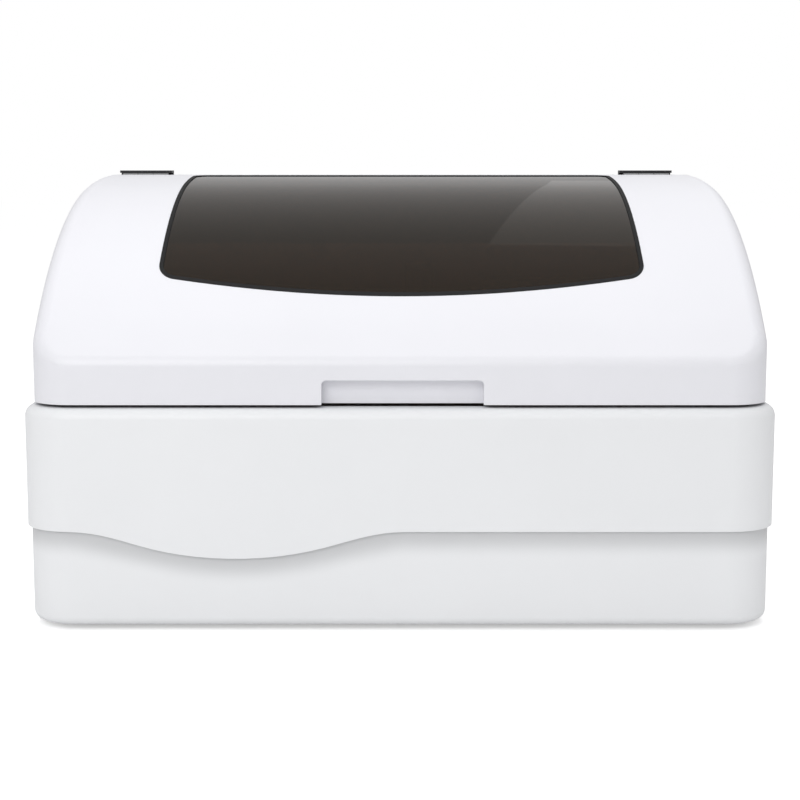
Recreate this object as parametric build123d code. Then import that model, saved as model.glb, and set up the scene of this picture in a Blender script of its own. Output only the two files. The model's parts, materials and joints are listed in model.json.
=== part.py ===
"""Benchtop clinical chemistry analyzer: cased base, hinged hood, disks, arms and drives.

Millimetres. +X right, -Y towards the operator, +Z up, origin under the middle of the feet.
"""
from build123d import *
import math
import os

# How far cuts run past the faces that they open
cut_margin = 1.0

# Casing
casing_width = 740.0
casing_depth = 580.0
casing_corner_r = 50.0
foot_height = 5.0
foot_r = 14.0
lower_wall = 4.0
lower_flange_width = 14.0
lower_flange_thickness = 3.0
lower_edge_r = 9.0
upper_wall = 5.0
step_inset = 4.0
lap_gap = 0.3
lap_height = 12.0
step_z = 100.2
wave_drop = 26.6
wave_shoulder = 0.37
wave_start_x = -325.0
wave_end_x = 5.0
rim_z = 220.0
rim_thickness = 4.0
rim_width = 24.0
rim_edge_r = 11.0
chassis_thickness = 3.0
chassis_gap = 0.5

# Hood
hood_inset = 9.5
hood_gap = 3.0
hood_wall = 4.0
skirt_height = 43.0
crown_z = 442.0
crown_lead = 2.71
crown_bend = 8.0
crown_straight = 30.0
crown_rest = 6.5
hood_rear_gap = 2.0
hood_edge_r = 18.0
window_side_margin = 115.0
window_shift = 1.5
window_front_margin = 61.5
window_rear_margin = 47.0
window_front_r = 1286.0
window_corner_r = 20.0
window_thickness = 3.0
gasket_width = 4.0
gasket_proud = 0.5
grip_width = 157.0
grip_shift = 2.5
grip_height = 24.0
grip_depth = 14.0
grip_corner_r = 5.0
bumper_size = 12.0

# Hinges
hinge_setback = 6.0
hinge_drop = 3.0
hinge_pin_r = 2.5
hinge_fit = 0.05
hinge_pin_end = 1.0
knuckle_r = 5.0
knuckle_length = 18.0
knuckle_gap = 0.5
hinge_side_margin = 56.5
hinge_shift = -5.0
hinge_pocket_gap = 1.0
leaf_length = 32.0
leaf_thickness = 3.0
hinge_cover_length = 63.0
hinge_cover_depth = 19.0
hinge_cover_lap = 6.0
hinge_cover_rise = 5.2

# Rear housing
tower_depth = 97.5
tower_wall = 4.0
tower_edge_r = 12.0
panel_side_margin = 60.5
panel_foot_margin = 20.0
panel_head_margin = 22.0
panel_thickness = 1.5
panel_margin = 14.0
screw_head_r = 3.5
screw_head_height = 2.0
vent_count = 9
vent_pitch = 8.0
vent_slot_height = 4.0
vent_slot_length = 76.0

# Fan
fan_share = 19 / 60
fan_size = 92.0
fan_depth = 25.0
fan_bore_r = 42.0
fan_hub_r = 19.0
fan_tip_gap = 1.5
fan_blades = 7
fan_blade_thickness = 2.0
fan_strut_width = 8.0
fan_hub_plate = 3.0
fan_shaft_r = 3.0
fan_blade_root = 4.0
fan_blade_pitch = 35.0
fan_blade_share = 0.9
fan_rear_gap = 2.0
fan_front_gap = 1.0

# Mains inlet, switch and ports
inlet_share = -47 / 120
ports_share = 1 / 4
inlet_width = 28.0
inlet_height = 48.0
inlet_body_depth = 30.0
inlet_flange = 2.5
inlet_flange_side = 4.0
inlet_flange_end = 3.0
socket_width = 22.0
socket_height = 16.0
socket_depth = 20.0
socket_foot = 7.0
blade_width = 2.0
blade_height = 4.0
blade_spread = 6.0
blade_rise = 3.0
rocker_width = 13.0
rocker_length = 19.0
rocker_depth = 12.0
rocker_tilt = 7.0
rocker_margin = 3.0
rocker_pin_r = 1.5
rocker_pin_length = 1.7
data_share = -1 / 5
data_count = 3
data_pitch = 34.0
data_width = 18.0
data_height = 12.0
data_lip = 2.0
data_depth = 18.0
fluid_share = 1 / 15
fluid_count = 2
fluid_pitch = 40.0
fluid_r = 8.0
fluid_wall = 3.0
fluid_depth = 22.0
fluid_bore_depth = 14.0
fluid_flange = 3.0
fluid_nose = 5.0

# Work deck
deck_thickness = 4.0
deck_gap = 1.0
post_size = 16.0
pot_r = 11.0
pot_wall = 2.0
pot_depth = 44.0
pot_flange_r = 16.0
flange_thickness = 3.0

# Reagent and sample disk
reagent_well_r = 130.0
well_wall = 3.0
well_flange = 7.0
well_depth = 98.0
well_floor = 4.0
tray_r = 120.0
tray_depth = 78.0
tray_floor = 4.0
tray_rack_depth = 20.0
tray_rack = 5.0
tray_hub_r = 20.0
tray_rib = 2.5
tube_ring_r = 106.0
tube_count = 24
tube_hole = 15.0
tube_r = 6.5
tube_wall = 1.1
tube_length = 75.0
tubes_loaded = 8
bottle_count = 8
bottle_inner_r = 45.0
bottle_outer_r = 92.0
bottle_angle = 38.0
bottle_gap = 1.0
bottle_wall_angle = 1.5
bottle_wall = 1.5
bottle_height = 68.0
bottle_mouth_r = 8.0
bottle_mouth_ring = 72.86
bottle_neck = 2.0
bottle_neck_height = 3.0
bottle_corner_r = 4.0
knob_r = 15.0
knob_height = 26.0
knob_neck = 5.0
knob_grip = 10.0

# Reaction disk
reaction_well_gap = 22.0
cuvette_ring_r = 88.0
cuvette_count = 40
segment_count = 8
cuvette_size = 8.0
cuvette_wall = 1.0
cuvette_drop = 5.0
cuvette_height = 37.0
segment_thickness = 2.0
segment_gap_angle = 0.8
segment_inner = 12.0
segment_outer = 7.0
rotor_thickness = 5.0
rotor_hub_height = 20.0
rotor_seat_gap = 0.5
rotor_cover_height = 12.0
rotor_cover_gap = 2.0
rotor_cover_slope = 20.0
photometer_width = 26.0
photometer_gap = 3.0
photometer_lamp = 18.0
photometer_sensor = 9.0
photometer_beam_r = 3.0

# Disk drives
spindle_r = 8.0
shaft_fit = 0.05
bearing_r = 16.0
bearing_flange_r = 22.0
bearing_flange = 3.0
bearing_foot = 2.0
collar_step = 4.0
collar_height = 6.0
gear_module = 3.0
gear_teeth = 40
pinion_teeth = 12
gear_thickness = 8.0
gear_drop = 15.0
gear_addendum = 0.85
gear_dedendum = 1.15
gear_chord = 0.75
gear_flank = 20.0
gear_backlash = 0.35
motor_size = 42.0
motor_height = 38.0
motor_shaft_r = 2.5
motor_gap = 4.0
motor_corner = 4.0
motor_shaft_reach = 12.0
bracket_sheet = 3.0

# Arms
sample_col_x = 22.0
sample_col_setback = 123.0
mixer_col_left = 70.0
mixer_col_back = 170.0
column_r = 8.0
column_depth = 96.0
bush_r = 13.0
bush_flange_r = 19.0
bush_flange = 6.0
bush_depth = 26.0
mixer_station = 99.0
sample_arm_share = 96 / 226
sample_arm_height = 30.0
sample_arm_width = 30.0
mixer_arm_share = 82 / 226
mixer_arm_height = 24.0
mixer_arm_width = 26.0
arm_tip_width = 16.0
arm_pin_r = 5.0
arm_pin_length = 14.0
arm_edge_r = 4.0
probe_r = 1.2
probe_clearance = 16.0
probe_collar_r = 4.2
probe_collar_length = 12.0
paddle_shaft_r = 1.5
paddle_width = 3.4
paddle_thickness = 1.0
paddle_height = 12.0
paddle_seat = 12.0

# Wash station
wash_first_slot = 3
wash_nozzles = 4
wash_rail_gap = 30.0
wash_rail_r = 8.0
wash_rail_share = 114 / 226
wash_rail_foot = 10.0
wash_head_share = 56 / 226
wash_head_height = 12.0
wash_carriage_wall = 8.0
wash_carriage_collar = 6.0
wash_plate_half = 8.0
wash_arm_width = 14.0
nozzle_r = 1.2
nozzle_clearance = 12.0

# Power supply, board and syringe
supply_back = 80.0
supply_length = 160.0
supply_width = 98.0
supply_height = 50.0
supply_vents = 5
supply_vent_pitch = 12.0
supply_vent_width = 4.0
supply_vent_margin = 15.0
supply_vent_depth = 2.0
board_back = 85.0
board_length = 200.0
board_width = 100.0
board_thickness = 1.6
standoff_height = 10.0
standoff_r = 4.0
standoff_margin = 6.0
chip_height = 3.0
chips = ((-50.0, 10.0, 28.0), (10.0, -20.0, 20.0), (60.0, 20.0, 24.0))
syringe_x = 0.0
syringe_back = 90.0
syringe_r = 9.0
syringe_wall = 1.5
syringe_length = 70.0
syringe_z = 100.0
syringe_travel = 40.0
syringe_bracket = 44.0
plunger_fit = 0.08
plunger_head = 8.0
plunger_rod_r = 3.0
plunger_button = 5.0
syringe_cap = 6.0
syringe_plate = 6.0
syringe_clamp = 20.0
syringe_clamp_lip = 5.0
plunger_rest_gap = 2.0

# Sizes that follow
half_w = casing_width / 2
half_d = casing_depth / 2
chassis_z = foot_height + lower_flange_thickness
floor_z = chassis_z + chassis_thickness
lap_top = step_z + lap_height
rim_under = rim_z - rim_thickness
deck_z = rim_under
hood_bottom = rim_z + hood_gap
crease_z = hood_bottom + skirt_height
hood_half = half_w - hood_inset
hood_front_y = -half_d + hood_inset
tower_rear_y = half_d - hood_inset
tower_front_y = tower_rear_y - tower_depth
hood_rear_y = tower_front_y - hood_rear_gap
crown_run = hood_rear_y - crown_rest - hood_front_y
crown_pitch = 2 * math.degrees(math.atan2(crown_z - crease_z, crown_run)) + crown_lead
window_half = hood_half - window_side_margin
grip_top_z = hood_bottom + grip_height
hinge_y = tower_front_y - hinge_setback
hinge_z = crown_z - hinge_drop
hinge_spacing = 2 * (hood_half - hinge_side_margin)
hinge_cover_top = crown_z + hinge_cover_rise
panel_width = 2 * (hood_half - panel_side_margin)
panel_height = crown_z - rim_z - panel_foot_margin - panel_head_margin
panel_z = rim_z + panel_foot_margin + panel_height / 2
panel_face_y = tower_rear_y + panel_thickness
ports_z = panel_z - ports_share * panel_height
fan_x = fan_share * panel_width
inlet_x = inlet_share * panel_width
data_x = data_share * panel_width
fluid_x = fluid_share * panel_width

# The free width and depth of the work deck are shared out among the gaps beside the wells
gap_left = 62.0
gap_middle = 91.0
gap_right = 67.0
reagent_gap_front = 82.0
reagent_gap_rear = 111.0
reaction_gap_front = 92.0
reaction_gap_rear = 141.0
reaction_well_r = cuvette_ring_r + reaction_well_gap
segment_inner_r = cuvette_ring_r - segment_inner
segment_outer_r = cuvette_ring_r + segment_outer
wash_rail_reach = reaction_well_r + wash_rail_gap
deck_half = half_w - upper_wall - deck_gap
deck_front_y = -half_d + upper_wall + deck_gap
reagent_reach = reagent_well_r + well_flange
reaction_reach = reaction_well_r + well_flange
free_width = 2 * (deck_half - reagent_reach - reaction_reach)
gaps = gap_left + gap_middle + gap_right
reagent_x = -deck_half + free_width * gap_left / gaps + reagent_reach
reaction_x = deck_half - free_width * gap_right / gaps - reaction_reach
deck_depth = tower_front_y - deck_front_y
reagent_front_share = reagent_gap_front / (reagent_gap_front + reagent_gap_rear)
reaction_front_share = reaction_gap_front / (reaction_gap_front + reaction_gap_rear)
reagent_y = deck_front_y + (deck_depth - 2 * reagent_reach) * reagent_front_share + reagent_reach
reaction_y = deck_front_y + (deck_depth - 2 * reaction_reach) * reaction_front_share + reaction_reach
reagent_axis = (reagent_x, reagent_y)
reaction_axis = (reaction_x, reaction_y)

# Heights under and over the work deck
well_floor_z = deck_z - well_depth
tray_floor_z = deck_z - tray_depth
tray_rack_z = deck_z - tray_rack_depth
tray_rack_top = tray_rack_z + tray_rack
cuvette_top_z = deck_z - cuvette_drop
gear_z = well_floor_z - gear_drop
motor_top_z = gear_z - motor_gap
column_foot_z = deck_z - column_depth
chamber_height = crown_z - deck_z
sample_arm_z = deck_z + sample_arm_share * chamber_height
mixer_arm_z = deck_z + mixer_arm_share * chamber_height
probe_tip_z = deck_z + probe_clearance
wash_rail_top = deck_z + wash_rail_share * chamber_height
wash_head_z = deck_z + wash_head_share * chamber_height
nozzle_tip_z = deck_z + nozzle_clearance
gear_r = gear_module * gear_teeth / 2
pinion_r = gear_module * pinion_teeth / 2
gear_centres = gear_r + pinion_r
rotor_z = cuvette_top_z - segment_thickness - rotor_thickness


def at_angle(centre, radius, degrees):
    """Point at a radius and an angle from a centre."""
    turn = math.radians(degrees)
    return (centre[0] + radius * math.cos(turn), centre[1] + radius * math.sin(turn))


# The sample arm just reaches the bottle mouths; the mixer arm just reaches its cuvette
sample_column = (sample_col_x, tower_front_y - sample_col_setback)
sample_arm_length = math.dist(reagent_axis, sample_column) - bottle_mouth_ring
sample_pot = (sample_column[0], sample_column[1] - sample_arm_length)
mixer_column = (reaction_x - mixer_col_left, reaction_y + mixer_col_back)
mixer_arm_length = math.dist(at_angle(reaction_axis, cuvette_ring_r, mixer_station), mixer_column)
mixer_pot = (mixer_column[0] + mixer_arm_length, mixer_column[1])
arm_line = math.degrees(math.atan2(sample_column[1] - reagent_y, sample_column[0] - reagent_x))
cuvette_pitch = 360 / cuvette_count
wash_angle = cuvette_pitch * (wash_first_slot + (wash_nozzles - 1) / 2)
wash_rail = at_angle(reaction_axis, wash_rail_reach, wash_angle)
hinge_front_y = hinge_y - knuckle_r - hinge_pocket_gap
hinge_xs = (hinge_shift - hinge_spacing / 2, hinge_shift + hinge_spacing / 2)
supply_place = (-casing_width / 4, half_d - supply_back)
board_place = (casing_width / 5, half_d - board_back)
syringe_axis = (syringe_x, half_d - syringe_back)


def block(x0, x1, y0, y1, z0, z1):
    """Box between two corners."""
    return Pos((x0 + x1) / 2, (y0 + y1) / 2, (z0 + z1) / 2) * Box(x1 - x0, y1 - y0, z1 - z0)


def disc(centre, radius, z0, z1):
    """Upright cylinder on a centre."""
    return Pos(centre[0], centre[1], (z0 + z1) / 2) * Cylinder(radius, z1 - z0)


def ring(centre, outer, inner, z0, z1):
    """Upright tube on a centre."""
    return disc(centre, outer, z0, z1) - disc(centre, inner, z0 - cut_margin, z1 + cut_margin)


def rod_x(x0, x1, y, z, radius):
    """Cylinder along X."""
    return Pos((x0 + x1) / 2, y, z) * Rot(0, 90, 0) * Cylinder(radius, x1 - x0)


def rod_y(x, y0, y1, z, radius):
    """Cylinder along Y."""
    return Pos(x, (y0 + y1) / 2, z) * Rot(90, 0, 0) * Cylinder(radius, y1 - y0)


def prism(sketch, z0, z1):
    """Flat outline raised from one height to another."""
    return Pos(0, 0, z0) * extrude(sketch, z1 - z0)


def casing(inset, z0, z1):
    """Plan outline of the casing, stood in by an inset, as an upright block."""
    outline = RectangleRounded(
        casing_width - 2 * inset, casing_depth - 2 * inset, casing_corner_r - inset
    )
    return prism(outline, z0, z1)


def group(solids):
    """Several separate solids kept as one node."""
    return Compound(children=list(solids))


def edges_at(part, z, tolerance=0.01):
    """Edges that lie level at one height."""
    return [
        e for e in part.edges()
        if abs(e.bounding_box().min.Z - z) < tolerance and abs(e.bounding_box().max.Z - z) < tolerance
    ]


def save(shape, name):
    """Write one node."""
    export_step(shape, "parts/" + name + ".step")


# Casing: the lower moulding, and the upper moulding that laps over it with a wave at its front
def make_lower_casing():
    """Lower moulding, open at the top, with an inner flange for the chassis plate."""
    shell = casing(step_inset, foot_height, lap_top)
    shell = fillet(edges_at(shell, foot_height), lower_edge_r)
    inner = step_inset + lower_wall
    shell -= casing(inner, chassis_z, lap_top + cut_margin)
    return shell - casing(inner + lower_flange_width, foot_height - cut_margin, chassis_z + cut_margin)


def below_wave():
    """Space under the step line: flat all round, with the dip on the front's left half."""
    middle_x = (wave_start_x + wave_end_x) / 2
    low_z = step_z - wave_drop
    side_x = (middle_x - wave_start_x) / 2
    side_z = low_z + wave_shoulder * wave_drop
    curve = Spline(
        (wave_start_x, step_z),
        (middle_x - side_x, side_z),
        (middle_x, low_z),
        (middle_x + side_x, side_z),
        (wave_end_x, step_z),
        tangents=[(1, 0), (1, 0)],
    )
    far = half_w + cut_margin
    outline = curve + Polyline(
        (wave_end_x, step_z), (far, step_z), (far, 0), (-far, 0), (-far, step_z), (wave_start_x, step_z)
    )
    front_band = casing_corner_r
    front = Plane.XZ.offset(half_d - front_band) * extrude(make_face(outline), front_band + cut_margin)
    rear = block(-far, far, -half_d + front_band, half_d + cut_margin, 0, step_z)
    return front + rear


def make_upper_casing():
    """Upper moulding: outer band with a rounded top edge, a rim flange, a shoulder on the lap."""
    low_z = step_z - wave_drop
    shell = casing(0, low_z - lap_height, rim_z) - below_wave()
    shell = fillet(edges_at(shell, rim_z), rim_edge_r)
    shell -= casing(step_inset - lap_gap, 0, lap_top)
    shell -= casing(upper_wall, lap_top - cut_margin, rim_under)
    edge_y = half_d - rim_width
    chamber_rear = tower_front_y - rim_width / 2
    chamber = RectangleRounded(casing_width - 2 * rim_width, chamber_rear + edge_y, casing_corner_r / 2)
    shell -= prism(Pos(0, (chamber_rear - edge_y) / 2) * chamber, rim_under - cut_margin, rim_z + cut_margin)
    duct_front = tower_front_y + tower_wall + rim_width / 2
    duct = Rectangle(panel_width, edge_y - duct_front)
    return shell - prism(Pos(0, (duct_front + edge_y) / 2) * duct, rim_under - cut_margin, rim_z + cut_margin)


def make_chassis_plate():
    """Sheet floor that the drives stand on."""
    return casing(step_inset + lower_wall + chassis_gap, chassis_z, floor_z)


def make_feet():
    """Four tapered rubber feet under the chassis plate, inside the lower flange."""
    inner = step_inset + lower_wall + lower_flange_width
    x = half_w - inner - 2 * foot_r
    y = half_d - inner - 2 * foot_r
    foot = Pos(0, 0, chassis_z / 2) * Cone(foot_r - 2, foot_r, chassis_z)
    return group(Pos(sx * x, sy * y) * foot for sx in (-1, 1) for sy in (-1, 1))


def make_deck_posts():
    """Square posts that carry the work deck."""
    half = post_size / 2
    side_x = deck_half - casing_corner_r + half / 2
    front_y = deck_front_y + casing_corner_r / 2 + half
    back_y = tower_front_y - 2 * post_size
    spots = [(-side_x, front_y), (side_x, front_y), (-side_x, back_y), (side_x, back_y), (0, front_y)]
    return group(
        block(x - half, x + half, y - half, y + half, floor_z, deck_z - deck_thickness) for x, y in spots
    )


# Work deck and what is let into it
def make_work_deck():
    """Moulded deck under the rim, bored for wells, pots and bushes."""
    plate = casing(upper_wall + deck_gap, deck_z - deck_thickness, deck_z)
    plate -= block(-half_w, half_w, tower_front_y, half_d, 0, rim_z)
    bores = [
        (reagent_axis, reagent_well_r + deck_gap),
        (reaction_axis, reaction_well_r + deck_gap),
        (sample_pot, pot_r + deck_gap / 2),
        (mixer_pot, pot_r + deck_gap / 2),
        (sample_column, bush_r + deck_gap / 2),
        (mixer_column, bush_r + deck_gap / 2),
    ]
    for centre, radius in bores:
        plate -= disc(centre, radius, deck_z - deck_thickness - cut_margin, deck_z + cut_margin)
    return plate


def make_well(centre, radius):
    """Deep round well that hangs in the deck by its flange and holds the disk bearing."""
    well = disc(centre, radius, well_floor_z, deck_z)
    well += disc(centre, radius + well_flange, deck_z, deck_z + flange_thickness)
    well -= disc(centre, radius - well_wall, well_floor_z + well_floor, rim_z)
    return well - disc(centre, bearing_r, well_floor_z - cut_margin, well_floor_z + well_floor + cut_margin)


def make_wash_pots():
    """Two flanged pots where the probe and the paddle rest and are rinsed."""
    pots = []
    for centre in (sample_pot, mixer_pot):
        pot = disc(centre, pot_r, deck_z - pot_depth, deck_z)
        pot += disc(centre, pot_flange_r, deck_z, deck_z + flange_thickness)
        pot -= disc(centre, pot_r - pot_wall, deck_z - pot_depth + pot_wall, rim_z)
        pots.append(pot)
    return group(pots)


def make_column_bushes():
    """Flanged guide bushes that the two arm columns slide and turn in."""
    bushes = []
    for centre in (sample_column, mixer_column):
        bush = disc(centre, bush_r, deck_z - bush_depth, deck_z)
        bush += disc(centre, bush_flange_r, deck_z, deck_z + bush_flange)
        bush -= disc(
            centre, column_r + shaft_fit, deck_z - bush_depth - cut_margin, deck_z + bush_flange + cut_margin
        )
        bushes.append(bush)
    return group(bushes)


# Hood: crown profile, shell, window, gasket
def crown_radii():
    """Radii of the crown's two arcs, which close the profile from the straight start to its level end."""
    pitch = math.radians(crown_pitch)
    bend = math.radians(crown_bend)
    run = crown_run - crown_straight * math.cos(pitch)
    rise = crown_z - crease_z - crown_straight * math.sin(pitch)
    first_run, first_rise = math.sin(pitch) - math.sin(bend), math.cos(bend) - math.cos(pitch)
    second_run, second_rise = math.sin(bend), 1 - math.cos(bend)
    scale = first_run * second_rise - second_run * first_rise
    first_r = (run * second_rise - second_run * rise) / scale
    return first_r, (first_run * rise - first_rise * run) / scale


def crown_profile(inset):
    """Crown's side profile moved in by an inset: a straight run and two arcs, as (y, z), with its ends."""
    first_r, second_r = crown_radii()
    pitch = math.radians(crown_pitch)
    bend = math.radians(crown_bend)

    def on_arc(centre, radius, slope):
        return (
            centre[0] - (radius - inset) * math.sin(slope),
            centre[1] + (radius - inset) * math.cos(slope),
        )

    lean_y = hood_front_y + crown_straight * math.cos(pitch)
    lean_z = crease_z + crown_straight * math.sin(pitch)
    first = (lean_y + first_r * math.sin(pitch), lean_z - first_r * math.cos(pitch))
    second = (
        first[0] + (second_r - first_r) * math.sin(bend),
        first[1] - (second_r - first_r) * math.cos(bend),
    )
    start = (hood_front_y + inset, crease_z - inset * math.tan(pitch / 2))
    joint = on_arc(first, first_r, bend)
    end = on_arc(second, second_r, 0)
    top = Line(start, on_arc(first, first_r, pitch))
    top += ThreePointArc(on_arc(first, first_r, pitch), on_arc(first, first_r, (pitch + bend) / 2), joint)
    top += ThreePointArc(joint, on_arc(second, second_r, bend / 2), end)
    return top, start, end


def crown_block(inset, z0):
    """Solid under the crown, moved in by an inset, from the skirt's front to past the rear."""
    top, start, end = crown_profile(inset)
    rear_y = hood_rear_y + cut_margin
    outline = top + Polyline(end, (rear_y, end[1]), (rear_y, z0), (start[0], z0), start)
    side = Plane.YZ * make_face(outline)
    return Pos(-half_w, 0, 0) * extrude(side, casing_width)


def hood_block(inset, z0, edge_r):
    """Hood's outer form: the crown cut by the plan outline, with its upper edges rolled."""
    form = crown_block(inset, z0) & casing(hood_inset + inset, z0, crown_z + hood_wall)
    above = [e for e in form.edges() if e.bounding_box().min.Z > z0 + skirt_height / 4]
    rolled = [e for e in above if e.bounding_box().min.Y < hood_rear_y]
    return fillet(rolled, edge_r)


def window_outline(inset):
    """Window in plan: straight sides, a bowed front edge and rounded corners."""
    front_y = hood_front_y + window_front_margin
    rear_y = hood_rear_y - window_rear_margin
    drop = window_front_r - math.sqrt(window_front_r**2 - window_half**2)
    edge = ThreePointArc((-window_half, front_y + drop), (0, front_y), (window_half, front_y + drop))
    outline = edge + Polyline(
        (window_half, front_y + drop), (window_half, rear_y), (-window_half, rear_y),
        (-window_half, front_y + drop),
    )
    face = make_face(outline)
    face = fillet(face.vertices(), window_corner_r)
    if inset:
        face = offset(face, -inset)
    return Pos(window_shift, 0) * face


def crown_skin(outer, inner):
    """Sheet between two insets of the crown."""
    return crown_block(outer, rim_z) - crown_block(inner, rim_z - cut_margin)


def make_lid_shell():
    """Moulded hood with a window opening and a finger recess in the front skirt."""
    shell = hood_block(0, hood_bottom, hood_edge_r)
    inner = hood_block(hood_wall, hood_bottom - cut_margin, hood_edge_r - hood_wall)
    recess = grip_recess(hood_wall)
    shell = shell - inner
    shell += recess
    shell -= grip_recess(0)
    shell -= prism(window_outline(0), crease_z, crown_z + cut_margin)
    half = hinge_cover_length / 2 + hinge_pocket_gap
    top = crown_z + cut_margin
    for x in hinge_xs:
        shell -= block(x - half, x + half, hinge_front_y, half_d, hinge_z - knuckle_r - hinge_pocket_gap, top)
    return shell - block(-half_w, half_w, hood_rear_y, half_d, 0, top)


def grip_recess(wall):
    """Finger recess in the skirt, grown by a wall for its inner side."""
    half = grip_width / 2 + wall
    top = grip_top_z + wall
    face = Pos(0, (hood_bottom + top) / 2) * Rectangle(2 * half, top - hood_bottom)
    corners = face.vertices().sort_by(Axis.Y)[-2:]
    face = fillet(corners, grip_corner_r)
    start = 0 if wall else cut_margin
    depth = grip_depth + wall
    slot = Plane.XZ.offset(-hood_front_y - depth) * extrude(face, depth + start)
    return Pos(grip_shift, 0, 0) * slot


def make_lid_window():
    """Curved smoked panel that sits inside the gasket."""
    return crown_skin(gasket_proud, gasket_proud + window_thickness) & prism(
        window_outline(gasket_width), crease_z, crown_z + cut_margin
    )


def make_window_gasket():
    """Seal that follows the crown round the window."""
    frame = prism(window_outline(0), crease_z, crown_z + cut_margin)
    frame -= prism(window_outline(gasket_width), crease_z - cut_margin, crown_z + 2 * cut_margin)
    return crown_skin(-gasket_proud, hood_wall + gasket_proud) & frame


def make_lid_bumpers():
    """Rubber pads under the skirt, just clear of the rim."""
    half = bumper_size / 2
    wall = hood_wall / 2
    x = hood_half - wall
    pads = []
    for side in (-x, x):
        for y in (hood_front_y + casing_corner_r + bumper_size, hood_rear_y - 3 * bumper_size):
            pads.append(block(side - wall, side + wall, y - half, y + half, rim_z + lap_gap, hood_bottom))
    return group(pads)


# Hinges
def pin_bore(x0, x1):
    """Bore for a hinge pin."""
    return rod_x(x0 - cut_margin, x1 + cut_margin, hinge_y, hinge_z, hinge_pin_r + hinge_fit)


def make_hinge_brackets():
    """Middle barrels carried by the rear housing."""
    half = knuckle_length / 2
    brackets = []
    for x in hinge_xs:
        web = block(x - half, x + half, hinge_y, tower_front_y, hinge_z - knuckle_r, hinge_z + knuckle_r)
        barrel = rod_x(x - half, x + half, hinge_y, hinge_z, knuckle_r)
        brackets.append(web + barrel - pin_bore(x - half, x + half))
    return group(brackets)


def make_hinge_leaves():
    """Outer barrels on a leaf under the hood's rear edge."""
    leaves = []
    under = crown_z - hood_wall
    near = knuckle_length / 2 + knuckle_gap
    far = near + knuckle_length
    for x in hinge_xs:
        front_y = hinge_front_y - leaf_length
        low = under - leaf_thickness
        leaf = block(x - far, x + far, front_y, hinge_front_y, low - leaf_thickness, crown_z)
        leaf &= crown_skin(hood_wall, hood_wall + leaf_thickness)
        for x0, x1 in ((x - far, x - near), (x + near, x + far)):
            leaf += block(x0, x1, hinge_front_y - knuckle_gap, hinge_y, low, under)
            leaf += rod_x(x0, x1, hinge_y, hinge_z, knuckle_r)
        leaves.append(leaf - pin_bore(x - far, x + far))
    return group(leaves)


def make_hinge_pins():
    """Pins through both hinges."""
    reach = 1.5 * knuckle_length + knuckle_gap + hinge_pin_end
    return group(rod_x(x - reach, x + reach, hinge_y, hinge_z, hinge_pin_r) for x in hinge_xs)


def make_hinge_covers():
    """Dark caps on the rear housing that shade the hinge barrels."""
    half = hinge_cover_length / 2
    front_y = hinge_y + hinge_fit + 2 * gasket_proud
    back_y = front_y + hinge_cover_depth
    caps = []
    for x in hinge_xs:
        over = block(x - half, x + half, front_y, back_y, hinge_z + knuckle_r + lap_gap, hinge_cover_top)
        seat_y = tower_front_y + hinge_cover_lap
        seat = block(x - half, x + half, seat_y, back_y, crown_z, hinge_cover_top)
        caps.append(over + seat)
    return group(caps)


# Rear housing
def tower_block(inset, z0):
    """Rear housing's outer form, moved in by an inset, with its side and rear top edges rolled."""
    top = crown_z - inset
    front = tower_front_y + inset
    form = casing(hood_inset + inset, z0, top)
    form -= block(-half_w, half_w, -half_d, front, z0 - cut_margin, top + cut_margin)
    rolled = [e for e in edges_at(form, top) if e.bounding_box().max.Y > front + cut_margin]
    return fillet(rolled, tower_edge_r - inset)


def make_rear_housing():
    """Moulded housing behind the hood, closed in front and open below and behind."""
    form = tower_block(0, rim_z) - tower_block(tower_wall, rim_z - cut_margin)
    half_x = panel_width / 2 - panel_margin
    half_z = panel_height / 2 - panel_margin
    front = tower_rear_y - 2 * tower_wall
    return form - block(-half_x, half_x, front, half_d, panel_z - half_z, panel_z + half_z)


def through_panel(x, z, width, height):
    """Rectangular cut through the rear panel."""
    half_x = width / 2
    half_z = height / 2
    return block(
        x - half_x, x + half_x, tower_rear_y - cut_margin, panel_face_y + cut_margin, z - half_z, z + half_z
    )


def make_rear_panel():
    """Sheet panel with fan slots and cut-outs for the inlet and ports."""
    half_x = panel_width / 2
    half_z = panel_height / 2
    panel = block(-half_x, half_x, tower_rear_y, panel_face_y, panel_z - half_z, panel_z + half_z)
    for i in range(vent_count):
        z = panel_z + (i - (vent_count - 1) / 2) * vent_pitch
        panel -= through_panel(fan_x, z, vent_slot_length, vent_slot_height)
    panel -= through_panel(inlet_x, ports_z, inlet_width, inlet_height)
    for i in range(data_count):
        panel -= through_panel(data_x + i * data_pitch, ports_z, data_width, data_height)
    for i in range(fluid_count):
        x = fluid_x + i * fluid_pitch
        panel -= rod_y(x, tower_rear_y - cut_margin, panel_face_y + cut_margin, ports_z, fluid_r)
    return panel


def make_case_screws():
    """Pan heads round the rear panel."""
    x_edge = panel_width / 2 - panel_margin / 2
    z_edge = panel_height / 2 - panel_margin / 2
    heads = []
    for x in (-x_edge, -x_edge / 3, x_edge / 3, x_edge):
        for z in (panel_z - z_edge, panel_z + z_edge):
            heads.append(rod_y(x, panel_face_y, panel_face_y + screw_head_height, z, screw_head_r))
    return group(heads)


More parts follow.
